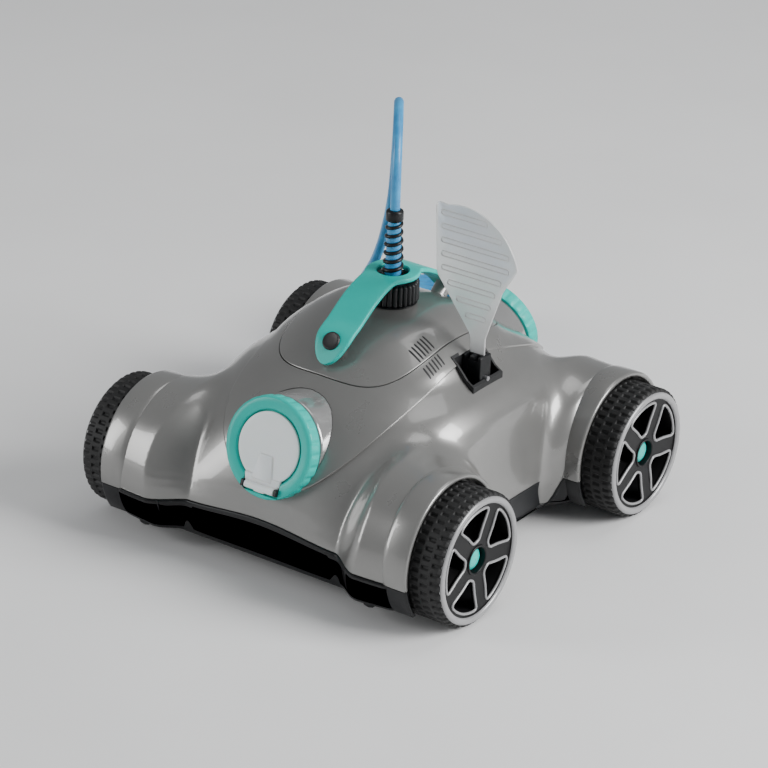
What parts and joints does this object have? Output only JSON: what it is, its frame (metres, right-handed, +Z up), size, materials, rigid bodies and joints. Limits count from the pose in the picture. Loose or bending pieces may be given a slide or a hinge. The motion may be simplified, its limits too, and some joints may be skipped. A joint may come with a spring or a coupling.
{
  "type": "pool cleaner",
  "caption": "Wheeled pool cleaner with a domed hull, front and rear jet nozzles with flap valves, a strap handle, a side fin and a floating cable.",
  "frame": {"origin": "on the floor under the middle of the body, without its cable", "axes": "+Z up, +Y to the rear, +X to the fin's side"},
  "size_m": [0.4012, 0.5153, 0.335],
  "materials": {
    "shell_grey": "glossy",
    "base_black": "satin",
    "teal": "glossy",
    "flap_white": "satin",
    "fin_clear": "clear",
    "tyre_rubber": "matte",
    "rim_grey": "satin",
    "steel": "brushed",
    "motor_shell": "satin",
    "shaft_steel": "brushed",
    "propeller_nylon": "satin",
    "tray_black": "satin",
    "filter_cloth": "woven",
    "flap_rubber": "matte",
    "cable_blue": "satin",
    "brass": "polished"
  },
  "bodies": {
    "hull": {"base_shell": "base_black", "upper_shell": "shell_grey", "top_cover": "shell_grey", "fin_pocket": "base_black", "handle": "teal", "handle_bolts": "base_black", "handle_feet": "shell_grey", "cable_socket": "base_black", "strain_relief": "base_black", "fin_pin": "steel", "motor_housing": "motor_shell", "motor_caps": "motor_shell", "motor_cradle": "motor_shell", "jet_tube_front": "shell_grey", "jet_tube_rear": "shell_grey", "cable_run": "cable_blue", "cable_coil": "cable_blue", "cable_lead_out": "cable_blue", "cable_plug": "base_black", "plug_pins": "brass", "axle_front_left": "steel", "axle_front_right": "steel", "axle_rear_left": "steel", "axle_rear_right": "steel"},
    "gland_nut": {"gland_nut": "base_black"},
    "fin": {"fin_blade": "fin_clear", "fin_root": "base_black"},
    "rotor": {"motor_shaft": "shaft_steel", "propeller_front": "propeller_nylon", "propeller_rear": "propeller_nylon"},
    "nozzle_front": {"nozzle_ring_front": "teal"},
    "flap_front": {"jet_flap_front": "flap_white"},
    "nozzle_rear": {"nozzle_ring_rear": "teal"},
    "flap_rear": {"jet_flap_rear": "flap_white"},
    "tray_left": {"filter_tray_left": "tray_black", "filter_basket_left": "tray_black", "filter_mesh_left": "filter_cloth"},
    "intake_left": {"intake_flap_left": "flap_rubber"},
    "tray_right": {"filter_tray_right": "tray_black", "filter_basket_right": "tray_black", "filter_mesh_right": "filter_cloth"},
    "intake_right": {"intake_flap_right": "flap_rubber"},
    "wheel_front_left": {"tyre_front_left": "tyre_rubber", "rim_front_left": "rim_grey", "hub_cap_front_left": "teal"},
    "latch_front_left": {"corner_latch_front_left": "base_black"},
    "wheel_front_right": {"tyre_front_right": "tyre_rubber", "rim_front_right": "rim_grey", "hub_cap_front_right": "teal"},
    "latch_front_right": {"corner_latch_front_right": "base_black"},
    "wheel_rear_left": {"tyre_rear_left": "tyre_rubber", "rim_rear_left": "rim_grey", "hub_cap_rear_left": "teal"},
    "latch_rear_left": {"corner_latch_rear_left": "base_black"},
    "wheel_rear_right": {"tyre_rear_right": "tyre_rubber", "rim_rear_right": "rim_grey", "hub_cap_rear_right": "teal"},
    "latch_rear_right": {"corner_latch_rear_right": "base_black"}
  },
  "joints": [
    {"name": "gland_nut_turn", "type": "hinge", "parent": "hull", "child": "gland_nut", "pos_m": [0, 0.002, 0.194], "axis": [0, 0, 1], "continuous": true},
    {"name": "fin_swing", "type": "hinge", "parent": "hull", "child": "fin", "pos_m": [0.086, 0, 0.143], "axis": [1, 0, 0], "range_deg": [-40, 40]},
    {"name": "rotor_spin", "type": "hinge", "parent": "hull", "child": "rotor", "pos_m": [0, 0, 0.088], "axis": [0, 1, 0], "continuous": true},
    {"name": "nozzle_front_swivel", "type": "hinge", "parent": "hull", "child": "nozzle_front", "pos_m": [0, -0.1568, 0.111], "axis": [0, -0.9613, 0.2756], "range_deg": [-30, 30]},
    {"name": "flap_front_hinge", "type": "hinge", "parent": "nozzle_front", "child": "flap_front", "pos_m": [0, -0.17018, 0.08103], "axis": [1, 0, 0], "range_deg": [0, 75]},
    {"name": "nozzle_rear_swivel", "type": "hinge", "parent": "hull", "child": "nozzle_rear", "pos_m": [0, 0.1568, 0.111], "axis": [0, 0.9613, 0.2756], "range_deg": [-30, 30]},
    {"name": "flap_rear_hinge", "type": "hinge", "parent": "nozzle_rear", "child": "flap_rear", "pos_m": [0, 0.17018, 0.08103], "axis": [-1, 0, 0], "range_deg": [0, 75]},
    {"name": "tray_left_drop", "type": "slide", "parent": "hull", "child": "tray_left", "axis": [0, 0, -1], "range_m": [0, 0.012]},
    {"name": "intake_left_hinge", "type": "hinge", "parent": "tray_left", "child": "intake_left", "pos_m": [-0.046, 0, 0.0224], "axis": [0, 1, 0], "range_deg": [0, 70]},
    {"name": "tray_right_drop", "type": "slide", "parent": "hull", "child": "tray_right", "axis": [0, 0, -1], "range_m": [0, 0.012]},
    {"name": "intake_right_hinge", "type": "hinge", "parent": "tray_right", "child": "intake_right", "pos_m": [0.046, 0, 0.0224], "axis": [0, -1, 0], "range_deg": [0, 70]},
    {"name": "wheel_front_left_roll", "type": "hinge", "parent": "hull", "child": "wheel_front_left", "pos_m": [-0.158, -0.1216, 0.055], "axis": [1, 0, 0], "continuous": true},
    {"name": "latch_front_left_hinge", "type": "hinge", "parent": "hull", "child": "latch_front_left", "pos_m": [-0.111, -0.174, 0.042], "axis": [-1, 0, 0], "range_deg": [0, 60]},
    {"name": "wheel_front_right_roll", "type": "hinge", "parent": "hull", "child": "wheel_front_right", "pos_m": [0.158, -0.1216, 0.055], "axis": [1, 0, 0], "continuous": true},
    {"name": "latch_front_right_hinge", "type": "hinge", "parent": "hull", "child": "latch_front_right", "pos_m": [0.111, -0.174, 0.042], "axis": [-1, 0, 0], "range_deg": [0, 60]},
    {"name": "wheel_rear_left_roll", "type": "hinge", "parent": "hull", "child": "wheel_rear_left", "pos_m": [-0.158, 0.1216, 0.055], "axis": [1, 0, 0], "continuous": true},
    {"name": "latch_rear_left_hinge", "type": "hinge", "parent": "hull", "child": "latch_rear_left", "pos_m": [-0.111, 0.174, 0.042], "axis": [1, 0, 0], "range_deg": [0, 60]},
    {"name": "wheel_rear_right_roll", "type": "hinge", "parent": "hull", "child": "wheel_rear_right", "pos_m": [0.158, 0.1216, 0.055], "axis": [1, 0, 0], "continuous": true},
    {"name": "latch_rear_right_hinge", "type": "hinge", "parent": "hull", "child": "latch_rear_right", "pos_m": [0.111, 0.174, 0.042], "axis": [1, 0, 0], "range_deg": [0, 60]}
  ]
}
